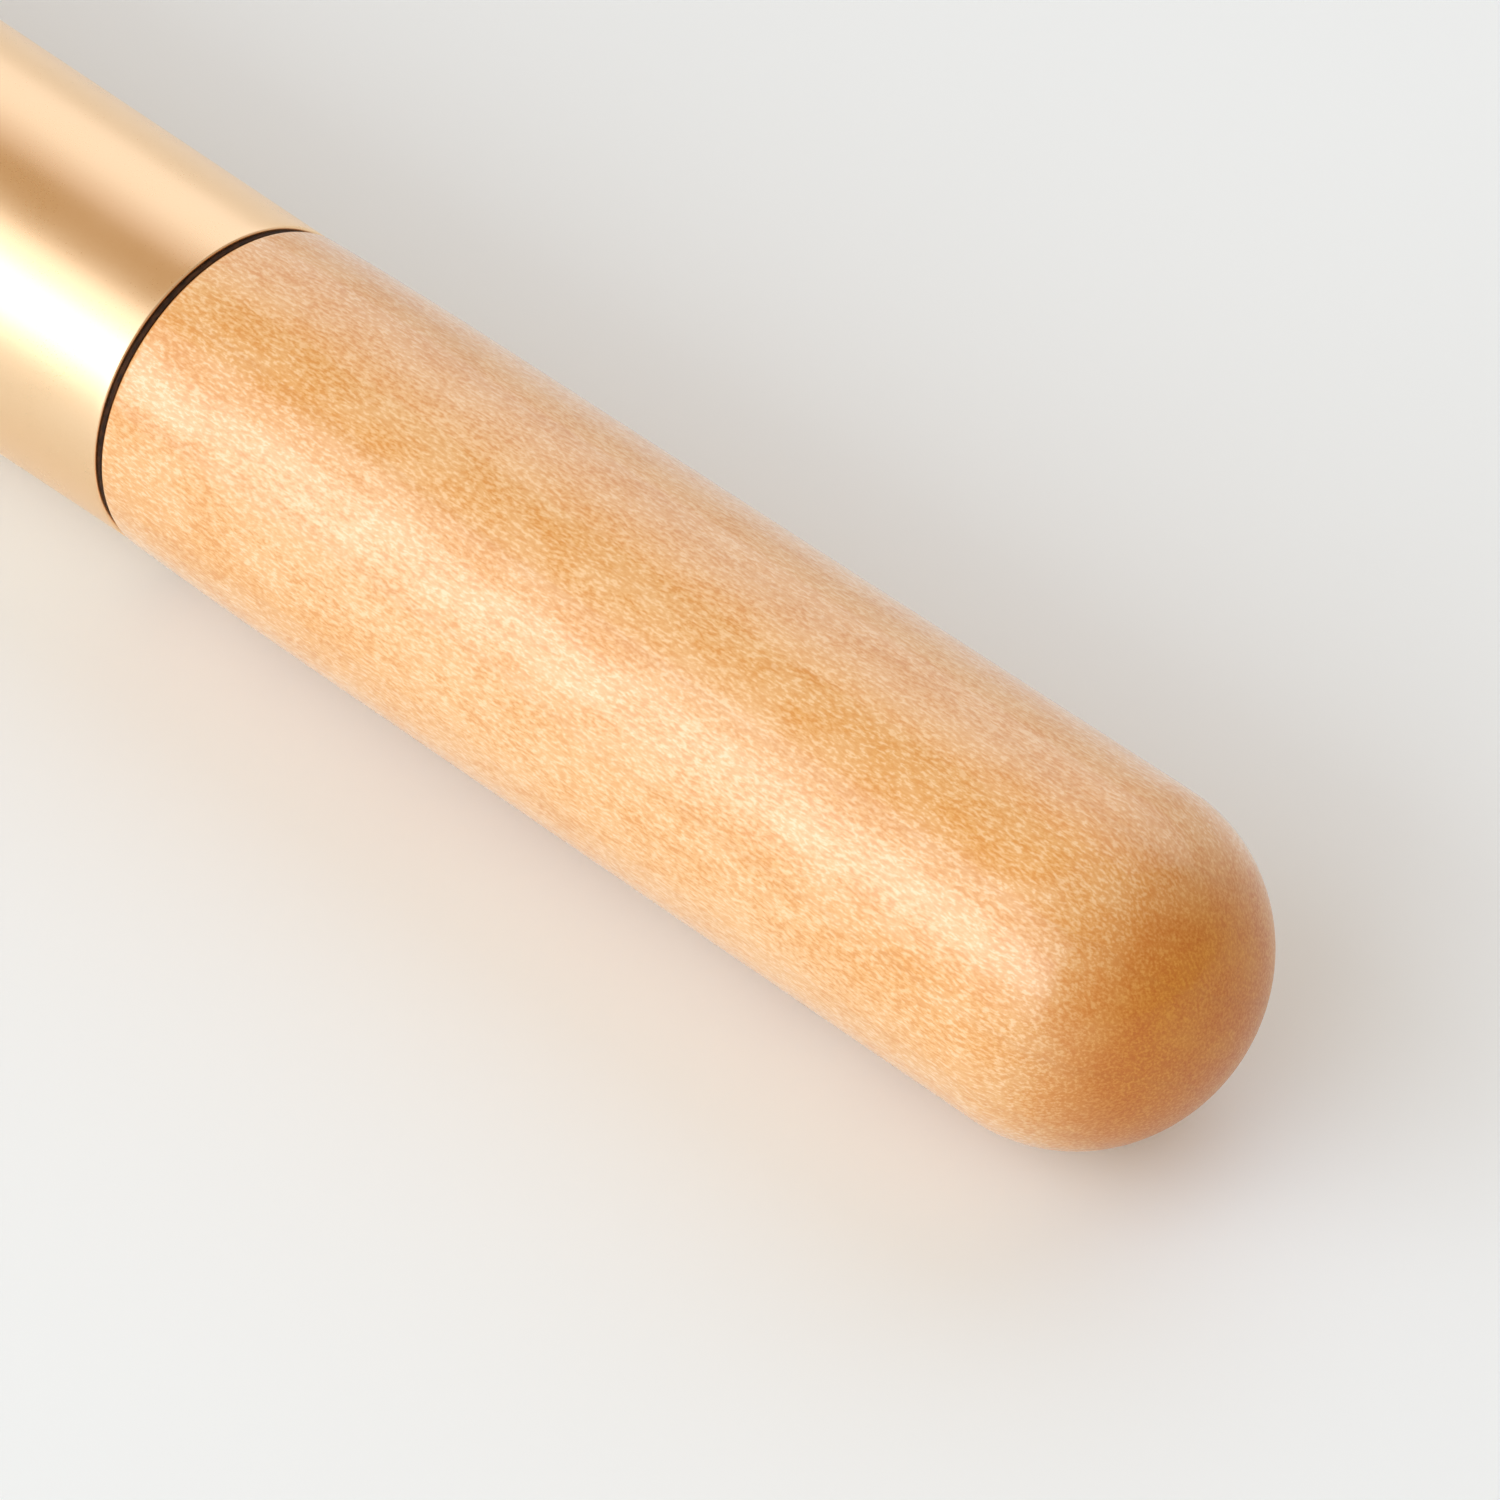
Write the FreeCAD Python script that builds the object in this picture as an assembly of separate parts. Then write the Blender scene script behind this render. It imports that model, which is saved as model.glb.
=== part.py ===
"""Dip pen holder with a nib: a turned maple tail and grip, joined by a satin gold sleeve.

The pen lies along X with its tail towards +X and its nib towards -X. Z is up, and the
origin is under the middle of the pen, on the surface that the grip's lowest flat lies on.
A steel stud runs through the hollow sleeve: it is bonded into a brass insert in the grip,
and the tail screws onto it with an insert of its own, so the tail's shoulder clamps the
sleeve against the grip with a thin black washer at each joint. At the front a second,
slimmer tube, the nib ferrule, is crimped onto the grip. The four leaves of a spring clip
in its mouth press the nib outwards against its bore. A quill socket inside the leaves
takes a slim tubular nib when the broad one is out. Sizes are in millimetres.
"""

import FreeCAD
import Part
import math
import os

# ---- driving sizes: the tail ----
TAIL_RADIUS = 6.0
TAIL_LENGTH = 43.4          # shoulder to the tip of the dome
DOME_HEIGHT = 5.66          # a little flatter than a half ball
TAIL_EASE = 0.1             # how far the tail is sanded down towards its shoulder
TAIL_EASE_LENGTH = 7.5
EDGE_ROUND = 0.3            # broken edge of each wooden shoulder
TAIL_TENON_LENGTH = 12.0

# ---- the sleeve and its washers ----
SLEEVE_LENGTH = 34.0
SLEEVE_WALL = 0.4
SLEEVE_FLARE = 0.45         # the sleeve's radius grows by this from tail to grip
SLEEVE_STEP = 0.03          # wood stands this proud of the metal at both rims
RIM_ROUND = 0.09            # broken edge of a cut tube
WASHER_THICKNESS = 0.22
WASHER_RECESS = 0.12        # the washer's rim stays this far under the sleeve's surface
TENON_CLEARANCE = 0.1       # around the tail's tenon, which slides out
BOND_GAP = 0.03             # glue line around a piece that stays where it is
RUNNING_CLEARANCE = 0.05    # around a piece that turns or slides in use

# ---- the stud and its inserts ----
STUD_RADIUS = 2.0           # an M4 thread, drawn as a plain shaft
STUD_CHAMFER = 0.5
STUD_GRIP_REACH = 9.0       # length of stud inside each insert
STUD_END_GAP = 2.0          # room between the stud's end and the bottom of the tail's bore
INSERT_WALL = 1.1
INSERT_LENGTH = 10.0
INSERT_GROOVES = 3          # glue grooves round the outside
INSERT_GROOVE_WIDTH = 1.0
INSERT_GROOVE_DEPTH = 0.25

# ---- the grip ----
GRIP_LENGTH = 54.0          # between its two shoulders
GRIP_SWELL = 0.5            # how far the grip swells past its rear shoulder
GRIP_SWELL_BACK = 6.5       # from the rear shoulder to the widest place
GRIP_FLATS = 8              # flats round the swell, which keep the pen from rolling
GRIP_FLAT_STEP = 0.05       # the flats stay this far outside the rear shoulder
GRIP_WAIST_AT = 0.62         # the waist's place, as a share of the grip from its rear
GRIP_WAIST_SHARE = 0.47      # its radius, as a share of the way from front to swell
GRIP_TENON_LENGTH = 12.0
GRIP_FRONT_STEP = 0.2       # wood stands this proud of the ferrule

# ---- the nib ferrule ----
FERRULE_REACH = 20.0        # from the grip's shoulder to the mouth
FERRULE_OVERLAP = 6.5       # length crimped onto the grip
FERRULE_WALL = 0.4
FERRULE_TAPER = 0.12        # it narrows by this towards its mouth
CRIMP_COUNT = 2
CRIMP_SPACING = 1.9
CRIMP_FROM_EDGE = 1.8
CRIMP_WIDTH = 0.8
CRIMP_DEPTH = 0.16
LIP_WIDTH = 0.9             # rolled lip round the mouth
LIP_HEIGHT = 0.14

# ---- the quill socket ----
SOCKET_BORE = 1.7
SOCKET_WALL = 0.45
SOCKET_FLANGE = 1.5         # thickness of the flange against the grip's front tenon
SOCKET_DEPTH = 10.0
SOCKET_RECESS = 1.0         # the socket's mouth stays this far inside the ferrule's
SOCKET_ROUND = 0.15

# ---- the spring clip ----
CLIP_THICKNESS = 0.25
CLIP_RING_LENGTH = 2.2
CLIP_RING_GAP = 0.1         # from the socket's flange to the ring
CLIP_LEAVES = 4
CLIP_CLEARANCE = 0.1        # between the leaves and the nib that they press on
CLIP_LEAF_ANGLE = 52.0      # width of a leaf round the bore, in degrees
CLIP_LEAF_DROP = 1.6        # length over which a leaf drops clear of the nib's back edge
CLIP_LEAF_DIP = 0.25        # how far it dips there before it rises to the nib
CLIP_LEAF_RISE_AT = 0.45    # where a leaf is highest, as a share of it from its end
CLIP_LEAF_CURL = 3.2        # slope of a leaf's end, as a multiple of its mean slope there
CLIP_LEAF_RECESS = 0.6      # the leaf ends stay this far inside the mouth
CLIP_END_GAP = 0.35         # from the curled leaf ends to the socket

# ---- the nib ----
NIB_BASE_RADIUS = 4.15
NIB_THICKNESS = 0.25
NIB_HALF_ANGLE = 78.0       # the base wraps this far each side of the top, in degrees
NIB_REACH = 24.0            # from the mouth to the point
NIB_POINT_RADIUS = 2.1      # height of the point over the axis
NIB_POINT_WIDTH = 0.36
NIB_SHOULDER = 15.5         # from the point back to its widest place
NIB_LEVEL = 1.0             # how far in front of the mouth the nib starts to fall
NIB_BEND_AT = 0.42          # where the nib bends down, as a share of its reach from the point
NIB_BEND_SHARE = 0.32       # how much of its fall it has made there
NIB_POINT_SLOPE = 0.2
NIB_TINE_WIDTH = 0.27       # half-widths along each side, as shares of the base radius
NIB_WAIST_WIDTH = 0.62
NIB_SHOULDER_WIDTH = 0.97
NIB_TINE_AT = 0.45          # where those widths are, as shares of the shoulder's distance
NIB_WAIST_AT = 0.78
NIB_TINE_SLOPE = 0.13       # slope of each side at the point
NIB_SHOULDER_SLOPE = 0.5    # and at the shoulder
NIB_SHOULDER_RUN = 2.0      # length over which the shoulder opens to the full width
NIB_SLIT = 0.08
NIB_VENT_RADIUS = 0.75
NIB_VENT_BACK = 12.5        # from the point to the vent hole
NIB_SIDE_CUT = 0.15         # width of the two cuts beside the vent hole
NIB_SIDE_CUT_ANGLE = 28.0
NIB_SIDE_CUT_OUT = 0.42      # where a side cut starts, as a share of the base radius
CUTTER_MARGIN = 1.0          # every cutting shape reaches this far past what it cuts

# ---- sizes that follow ----
SHOULDER_RADIUS = TAIL_RADIUS - TAIL_EASE
SLEEVE_REAR_RADIUS = SHOULDER_RADIUS - SLEEVE_STEP
SLEEVE_FRONT_RADIUS = SLEEVE_REAR_RADIUS + SLEEVE_FLARE
TAIL_TENON_RADIUS = SLEEVE_REAR_RADIUS - SLEEVE_WALL - TENON_CLEARANCE
GRIP_REAR_RADIUS = SLEEVE_FRONT_RADIUS + SLEEVE_STEP
GRIP_WIDEST_RADIUS = GRIP_REAR_RADIUS + GRIP_SWELL
GRIP_FLAT_RADIUS = GRIP_REAR_RADIUS + GRIP_FLAT_STEP
INSERT_BORE = STUD_RADIUS + RUNNING_CLEARANCE
INSERT_RADIUS = INSERT_BORE + INSERT_WALL
FERRULE_BORE = NIB_BASE_RADIUS + RUNNING_CLEARANCE
FERRULE_MOUTH_RADIUS = FERRULE_BORE + FERRULE_WALL
FERRULE_REAR_RADIUS = FERRULE_MOUTH_RADIUS + FERRULE_TAPER
GRIP_FRONT_RADIUS = FERRULE_REAR_RADIUS + GRIP_FRONT_STEP
FRONT_TENON_RADIUS = FERRULE_BORE - BOND_GAP
SOCKET_RADIUS = SOCKET_BORE + SOCKET_WALL
LEAF_PRESS_RADIUS = NIB_BASE_RADIUS - NIB_THICKNESS - CLIP_CLEARANCE
LEAF_END_RADIUS = SOCKET_RADIUS + CLIP_END_GAP + CLIP_THICKNESS
AXIS_HEIGHT = max(TAIL_RADIUS, GRIP_FLAT_RADIUS)

# ---- places along X, from the tail's tip forwards ----
PEN_LENGTH = (TAIL_LENGTH + WASHER_THICKNESS + SLEEVE_LENGTH + WASHER_THICKNESS
              + GRIP_LENGTH + FERRULE_REACH + NIB_REACH)
X_TAIL_TIP = PEN_LENGTH / 2
X_TAIL_SHOULDER = X_TAIL_TIP - TAIL_LENGTH
X_SLEEVE_REAR = X_TAIL_SHOULDER - WASHER_THICKNESS
X_SLEEVE_FRONT = X_SLEEVE_REAR - SLEEVE_LENGTH
X_GRIP_REAR = X_SLEEVE_FRONT - WASHER_THICKNESS
X_GRIP_FRONT = X_GRIP_REAR - GRIP_LENGTH
X_MOUTH = X_GRIP_FRONT - FERRULE_REACH
X_NIB_POINT = X_MOUTH - NIB_REACH
X_TAIL_TENON_END = X_TAIL_SHOULDER - TAIL_TENON_LENGTH
X_GRIP_TENON_END = X_GRIP_REAR + GRIP_TENON_LENGTH
X_FRONT_TENON_END = X_GRIP_FRONT - FERRULE_OVERLAP
X_FLANGE_FRONT = X_FRONT_TENON_END - SOCKET_FLANGE
X_SOCKET_MOUTH = X_MOUTH + SOCKET_RECESS
X_RING_REAR = X_FLANGE_FRONT - CLIP_RING_GAP
X_RING_FRONT = X_RING_REAR - CLIP_RING_LENGTH
X_LEAF_END = X_MOUTH + CLIP_LEAF_RECESS
X_NIB_BACK = X_RING_FRONT - CLIP_LEAF_DROP

AXIS_START = FreeCAD.Vector(0, 0, 0)
ALONG_X = FreeCAD.Vector(1, 0, 0)
UP = FreeCAD.Vector(0, 0, 1)
FULL_TURN = 360.0
TOP = 90.0                  # angle of the top of the pen, counted from +Y towards +Z


def unit(vector):
    """A copy of vector with length 1."""
    return FreeCAD.Vector(vector).normalize()


class Outline:
    """A closed half-section, drawn in (x, radius) and turned about the pen's axis."""

    def __init__(self, x, radius, rounding=0.0):
        self.points = [FreeCAD.Vector(x, radius, 0)]
        self.roundings = [rounding]
        self.curves = []    # one for each point but the last: None for a straight edge

    def line(self, x, radius, rounding=0.0):
        """A straight edge to (x, radius), whose corner there gets a round of that radius."""
        self.curves.append(None)
        self.points.append(FreeCAD.Vector(x, radius, 0))
        self.roundings.append(rounding)
        return self

    def arc(self, x, radius, centre_x, centre_radius):
        """An arc of under half a turn to (x, radius) about a centre."""
        start, end = self.points[-1], FreeCAD.Vector(x, radius, 0)
        centre = FreeCAD.Vector(centre_x, centre_radius, 0)
        middle = centre + unit(start + end - centre * 2) * (start - centre).Length
        self.curves.append(Part.Arc(start, middle, end).toShape())
        self.points.append(end)
        self.roundings.append(0.0)
        return self

    def spline(self, places, start_slope=None, end_slope=None):
        """A smooth curve through places, level at either end unless a slope is given."""
        points = [self.points[-1]] + [FreeCAD.Vector(x, radius, 0) for x, radius in places]
        run = math.copysign(1.0, points[-1].x - points[0].x)
        curve = Part.BSplineCurve()
        curve.interpolate(
            points,
            InitialTangent=FreeCAD.Vector(run, run * (start_slope or 0.0), 0),
            FinalTangent=FreeCAD.Vector(run, run * (end_slope or 0.0), 0),
        )
        self.curves.append(curve.toShape())
        self.points.append(points[-1])
        self.roundings.append(0.0)
        return self

    def dome(self, height):
        """A quarter ellipse from the last point down to the axis, height further along +X."""
        start = self.points[-1]
        centre = FreeCAD.Vector(start.x, 0, 0)
        tip = centre + ALONG_X * height
        major, minor = (start, tip) if height < start.y else (tip, start)
        ellipse = Part.Ellipse(major, minor, centre)
        first, last = sorted((ellipse.parameter(start), ellipse.parameter(tip)))
        if last - first > math.pi:
            first, last = last, first + 2 * math.pi
        self.curves.append(Part.ArcOfEllipse(ellipse, first, last).toBSpline().toShape())
        self.points.append(tip)
        self.roundings.append(0.0)
        return self

    def face(self):
        """The closed outline as a flat face."""
        count = len(self.points)
        curves = self.curves + [None]
        arrive, leave, rounds = [], [], []
        for i, corner in enumerate(self.points):
            size = self.roundings[i]
            if size <= 0:
                arrive.append(corner)
                leave.append(corner)
                rounds.append(None)
                continue
            back = unit(self.points[i - 1] - corner)
            ahead = unit(self.points[(i + 1) % count] - corner)
            half = back.getAngle(ahead) / 2
            bisector = unit(back + ahead)
            centre = corner + bisector * (size / math.sin(half))
            arrive.append(corner + back * (size / math.tan(half)))
            leave.append(corner + ahead * (size / math.tan(half)))
            rounds.append(Part.Arc(arrive[i], centre - bisector * size, leave[i]).toShape())
        edges = []
        for i in range(count):
            following = (i + 1) % count
            if rounds[i]:
                edges.append(rounds[i])
            if curves[i]:
                edges.append(curves[i])
            elif (arrive[following] - leave[i]).Length > 1e-7:
                edges.append(Part.LineSegment(leave[i], arrive[following]).toShape())
        return Part.Face(Part.Wire(Part.sortEdges(edges)[0]))

    def turned(self, middle=TOP, sweep=FULL_TURN):
        """The solid that the outline sweeps, sweep degrees round the axis about middle."""
        face = self.face()
        face.rotate(AXIS_START, ALONG_X, middle - sweep / 2)
        return face.revolve(AXIS_START, ALONG_X, sweep)


def sleeve_bore(x):
    """Radius of the sleeve's flared bore at x."""
    share = (X_SLEEVE_REAR - x) / SLEEVE_LENGTH
    return SLEEVE_REAR_RADIUS + SLEEVE_FLARE * share - SLEEVE_WALL


def tail_handle():
    """Domed maple tail with a tenon for the sleeve and a blind bore for its insert."""
    ease_run = TAIL_EASE_LENGTH - EDGE_ROUND
    ease_arc = (ease_run ** 2 + TAIL_EASE ** 2) / (2 * TAIL_EASE)
    bore_end = X_TAIL_TENON_END + max(INSERT_LENGTH, STUD_GRIP_REACH) + STUD_END_GAP
    outline = Outline(X_TAIL_TENON_END, INSERT_RADIUS)
    outline.line(X_TAIL_TENON_END, TAIL_TENON_RADIUS, EDGE_ROUND)
    outline.line(X_TAIL_SHOULDER, TAIL_TENON_RADIUS)
    outline.line(X_TAIL_SHOULDER, SHOULDER_RADIUS - EDGE_ROUND)
    outline.arc(X_TAIL_SHOULDER + EDGE_ROUND, SHOULDER_RADIUS,
                X_TAIL_SHOULDER + EDGE_ROUND, SHOULDER_RADIUS - EDGE_ROUND)
    outline.arc(X_TAIL_SHOULDER + TAIL_EASE_LENGTH, TAIL_RADIUS,
                X_TAIL_SHOULDER + TAIL_EASE_LENGTH, TAIL_RADIUS - ease_arc)
    outline.line(X_TAIL_TIP - DOME_HEIGHT, TAIL_RADIUS)
    outline.dome(DOME_HEIGHT)
    outline.line(bore_end, 0)
    outline.line(bore_end, INSERT_RADIUS)
    return outline.turned()


def insert(mouth_x, direction):
    """Brass insert whose outer end is at mouth_x, and which reaches along direction, +1 or -1."""
    outline = Outline(mouth_x, INSERT_BORE)
    outline.line(mouth_x, INSERT_RADIUS)
    pitch = INSERT_LENGTH / INSERT_GROOVES
    for groove in range(INSERT_GROOVES):
        start = mouth_x + direction * ((groove + 0.5) * pitch - INSERT_GROOVE_WIDTH / 2)
        end = start + direction * INSERT_GROOVE_WIDTH
        outline.line(start, INSERT_RADIUS)
        outline.line(start, INSERT_RADIUS - INSERT_GROOVE_DEPTH)
        outline.line(end, INSERT_RADIUS - INSERT_GROOVE_DEPTH)
        outline.line(end, INSERT_RADIUS)
    outline.line(mouth_x + direction * INSERT_LENGTH, INSERT_RADIUS)
    outline.line(mouth_x + direction * INSERT_LENGTH, INSERT_BORE)
    return outline.turned()


def washer(rear_x, outer_radius, inner_radius):
    """Thin black washer whose tail side is at rear_x."""
    front_x = rear_x - WASHER_THICKNESS
    edge = WASHER_THICKNESS / 4
    outline = Outline(rear_x, inner_radius)
    outline.line(rear_x, outer_radius, edge)
    outline.line(front_x, outer_radius, edge)
    outline.line(front_x, inner_radius)
    return outline.turned()


def tail_washer():
    """Washer that stays on the root of the tail's tenon."""
    outer = SLEEVE_REAR_RADIUS - WASHER_RECESS
    return washer(X_TAIL_SHOULDER, outer, TAIL_TENON_RADIUS + RUNNING_CLEARANCE)


def grip_washer():
    """Washer on the root of the grip's tenon."""
    outer = SLEEVE_FRONT_RADIUS - WASHER_RECESS
    return washer(X_SLEEVE_FRONT, outer, sleeve_bore(X_GRIP_REAR) - BOND_GAP)


def sleeve():
    """Thin satin gold tube, flared from the tail to the grip."""
    outline = Outline(X_SLEEVE_REAR, SLEEVE_REAR_RADIUS - SLEEVE_WALL, RIM_ROUND)
    outline.line(X_SLEEVE_REAR, SLEEVE_REAR_RADIUS, RIM_ROUND)
    outline.line(X_SLEEVE_FRONT, SLEEVE_FRONT_RADIUS, RIM_ROUND)
    outline.line(X_SLEEVE_FRONT, SLEEVE_FRONT_RADIUS - SLEEVE_WALL, RIM_ROUND)
    return outline.turned()


def tie_stud():
    """Steel stud that joins the tail to the grip through the sleeve."""
    rear = X_TAIL_TENON_END + STUD_GRIP_REACH
    front = X_GRIP_TENON_END - STUD_GRIP_REACH
    outline = Outline(rear, 0)
    outline.line(rear, STUD_RADIUS - STUD_CHAMFER)
    outline.line(rear - STUD_CHAMFER, STUD_RADIUS)
    outline.line(front + STUD_CHAMFER, STUD_RADIUS)
    outline.line(front, STUD_RADIUS - STUD_CHAMFER)
    outline.line(front, 0)
    return outline.turned()


def flats_prism():
    """A bar whose sides are the grip's flats, with one of them level underneath."""
    step = FULL_TURN / GRIP_FLATS
    corner_radius = GRIP_FLAT_RADIUS / math.cos(math.radians(step / 2))
    corners = []
    for side in range(GRIP_FLATS + 1):
        angle = math.radians(TOP + (side + 0.5) * step)
        corners.append(FreeCAD.Vector(X_FRONT_TENON_END, corner_radius * math.cos(angle),
                                      corner_radius * math.sin(angle)))
    end = Part.Face(Part.makePolygon(corners))
    return end.extrude(ALONG_X * (X_GRIP_TENON_END - X_FRONT_TENON_END))


def grip_handle():
    """Maple grip: a tenon at each end, a swell with flats, and a slim front at the ferrule."""
    bore_end = X_GRIP_TENON_END - INSERT_LENGTH
    widest_x = X_GRIP_REAR - GRIP_SWELL_BACK
    waist_x = X_GRIP_REAR - GRIP_LENGTH * GRIP_WAIST_AT
    swell = GRIP_WIDEST_RADIUS - GRIP_FRONT_RADIUS
    waist_radius = GRIP_FRONT_RADIUS + swell * GRIP_WAIST_SHARE
    outline = Outline(X_GRIP_TENON_END, INSERT_RADIUS)
    outline.line(X_GRIP_TENON_END, sleeve_bore(X_GRIP_TENON_END) - BOND_GAP)
    outline.line(X_GRIP_REAR, sleeve_bore(X_GRIP_REAR) - BOND_GAP)
    outline.line(X_GRIP_REAR, GRIP_REAR_RADIUS - EDGE_ROUND)
    outline.arc(X_GRIP_REAR - EDGE_ROUND, GRIP_REAR_RADIUS,
                X_GRIP_REAR - EDGE_ROUND, GRIP_REAR_RADIUS - EDGE_ROUND)
    outline.spline([
        (widest_x, GRIP_WIDEST_RADIUS),
        (waist_x, waist_radius),
        (X_GRIP_FRONT + EDGE_ROUND, GRIP_FRONT_RADIUS),
    ])
    outline.arc(X_GRIP_FRONT, GRIP_FRONT_RADIUS - EDGE_ROUND,
                X_GRIP_FRONT + EDGE_ROUND, GRIP_FRONT_RADIUS - EDGE_ROUND)
    outline.line(X_GRIP_FRONT, FRONT_TENON_RADIUS)
    outline.line(X_FRONT_TENON_END, FRONT_TENON_RADIUS, EDGE_ROUND)
    outline.line(X_FRONT_TENON_END, 0)
    outline.line(bore_end, 0)
    outline.line(bore_end, INSERT_RADIUS)
    return outline.turned().common(flats_prism())


def ferrule():
    """Slim tube for the nib: crimped rings over the grip's tenon and a rolled lip."""
    rear = X_GRIP_FRONT
    lip_rear = X_MOUTH + LIP_WIDTH

    def surface(x):
        return FERRULE_REAR_RADIUS - FERRULE_TAPER * (rear - x) / FERRULE_REACH

    outline = Outline(rear, FERRULE_BORE, RIM_ROUND)
    outline.line(rear, surface(rear), RIM_ROUND)
    for crimp in range(CRIMP_COUNT):
        middle = rear - CRIMP_FROM_EDGE - crimp * CRIMP_SPACING
        start = middle + CRIMP_WIDTH / 2
        end = middle - CRIMP_WIDTH / 2
        bottom = surface(middle) - CRIMP_DEPTH
        outline.line(start, surface(start), CRIMP_DEPTH)
        outline.line(middle, bottom, CRIMP_DEPTH)
        outline.line(end, surface(end), CRIMP_DEPTH)
    outline.line(lip_rear + LIP_HEIGHT, surface(lip_rear), LIP_HEIGHT)
    outline.line(lip_rear, FERRULE_MOUTH_RADIUS + LIP_HEIGHT, LIP_HEIGHT / 2)
    outline.line(X_MOUTH, FERRULE_MOUTH_RADIUS + LIP_HEIGHT, LIP_WIDTH / 3)
    outline.line(X_MOUTH, FERRULE_BORE, RIM_ROUND)
    return outline.turned()


def quill_socket():
    """Turned brass socket on the axis: a flange in the ferrule's bore and a slim tube."""
    outline = Outline(X_FRONT_TENON_END, 0)
    outline.line(X_FRONT_TENON_END, FERRULE_BORE - BOND_GAP)
    outline.line(X_FLANGE_FRONT, FERRULE_BORE - BOND_GAP)
    outline.line(X_FLANGE_FRONT, SOCKET_RADIUS)
    outline.line(X_SOCKET_MOUTH, SOCKET_RADIUS, SOCKET_ROUND)
    outline.line(X_SOCKET_MOUTH, SOCKET_BORE)
    outline.line(X_SOCKET_MOUTH + SOCKET_DEPTH, SOCKET_BORE)
    outline.line(X_SOCKET_MOUTH + SOCKET_DEPTH, 0)
    return outline.turned()


def clip_leaf(middle):
    """One bowed leaf of the clip, about middle degrees round the bore."""
    root_x = X_RING_FRONT + CLIP_THICKNESS
    rise_x = X_LEAF_END + (X_NIB_BACK - X_LEAF_END) * CLIP_LEAF_RISE_AT
    mean_slope = (LEAF_PRESS_RADIUS - LEAF_END_RADIUS) / (rise_x - X_LEAF_END)
    end_slope = mean_slope * CLIP_LEAF_CURL
    dip = (X_NIB_BACK, LEAF_PRESS_RADIUS - CLIP_LEAF_DIP)
    rise = (rise_x, LEAF_PRESS_RADIUS)
    end = (X_LEAF_END, LEAF_END_RADIUS)
    outline = Outline(root_x, FERRULE_BORE)
    outline.spline([dip, rise])
    outline.spline([end], end_slope=end_slope)
    outline.line(X_LEAF_END, LEAF_END_RADIUS - CLIP_THICKNESS)
    under = [(x, radius - CLIP_THICKNESS) for x, radius in (rise, dip, (root_x, FERRULE_BORE))]
    outline.spline(under[:1], start_slope=end_slope)
    outline.spline(under[1:])
    return outline.turned(middle, CLIP_LEAF_ANGLE)


def nib_clip():
    """Spring clip: a ring pressed into the ferrule and four leaves that reach to its mouth."""
    outline = Outline(X_RING_REAR, FERRULE_BORE - CLIP_THICKNESS)
    outline.line(X_RING_REAR, FERRULE_BORE)
    outline.line(X_RING_FRONT, FERRULE_BORE)
    outline.line(X_RING_FRONT, FERRULE_BORE - CLIP_THICKNESS)
    step = FULL_TURN / CLIP_LEAVES
    leaves = [clip_leaf(TOP + (leaf + 0.5) * step) for leaf in range(CLIP_LEAVES)]
    return outline.turned().multiFuse(leaves).removeSplitter()


def nib_shell():
    """The bent strip that the nib is cut from: level in the ferrule, falling to the point."""
    level_end = X_MOUTH - NIB_LEVEL
    bend_x = X_NIB_POINT + NIB_REACH * NIB_BEND_AT
    bend_radius = NIB_BASE_RADIUS - (NIB_BASE_RADIUS - NIB_POINT_RADIUS) * NIB_BEND_SHARE
    outline = Outline(X_NIB_BACK, NIB_BASE_RADIUS)
    outline.line(level_end, NIB_BASE_RADIUS)
    outline.spline([(bend_x, bend_radius), (X_NIB_POINT, NIB_POINT_RADIUS)],
                   end_slope=NIB_POINT_SLOPE)
    outline.line(X_NIB_POINT, NIB_POINT_RADIUS - NIB_THICKNESS)
    outline.spline([(bend_x, bend_radius - NIB_THICKNESS),
                    (level_end, NIB_BASE_RADIUS - NIB_THICKNESS)], start_slope=NIB_POINT_SLOPE)
    outline.line(X_NIB_BACK, NIB_BASE_RADIUS - NIB_THICKNESS)
    return outline.turned(TOP, 2 * NIB_HALF_ANGLE)


def nib_plan():
    """The nib as seen from above, as an upright prism: parallel sides, shoulders and a point."""
    wide = NIB_BASE_RADIUS + CUTTER_MARGIN
    shoulder_x = X_NIB_POINT + NIB_SHOULDER
    place = FreeCAD.Vector
    side = [
        place(X_NIB_POINT, NIB_POINT_WIDTH / 2, 0),
        place(X_NIB_POINT + NIB_SHOULDER * NIB_TINE_AT, NIB_BASE_RADIUS * NIB_TINE_WIDTH, 0),
        place(X_NIB_POINT + NIB_SHOULDER * NIB_WAIST_AT, NIB_BASE_RADIUS * NIB_WAIST_WIDTH, 0),
        place(shoulder_x, NIB_BASE_RADIUS * NIB_SHOULDER_WIDTH, 0),
    ]
    curve = Part.BSplineCurve()
    curve.interpolate(side, InitialTangent=place(1, NIB_TINE_SLOPE, 0),
                      FinalTangent=place(1, NIB_SHOULDER_SLOPE, 0))
    left = curve.toShape()
    right = left.mirror(AXIS_START, FreeCAD.Vector(0, 1, 0))
    open_x = shoulder_x + NIB_SHOULDER_RUN
    back = X_NIB_BACK + CUTTER_MARGIN
    corners = [side[-1], place(open_x, wide, 0), place(back, wide, 0),
               place(back, -wide, 0), place(open_x, -wide, 0),
               place(shoulder_x, -side[-1].y, 0)]
    straight = [Part.LineSegment(a, b).toShape() for a, b in zip(corners, corners[1:])]
    point = Part.LineSegment(place(X_NIB_POINT, -NIB_POINT_WIDTH / 2, 0), side[0]).toShape()
    wire = Part.Wire(Part.sortEdges([left, right, point] + straight)[0])
    return Part.Face(wire).extrude(UP * (NIB_BASE_RADIUS * 2))


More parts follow.
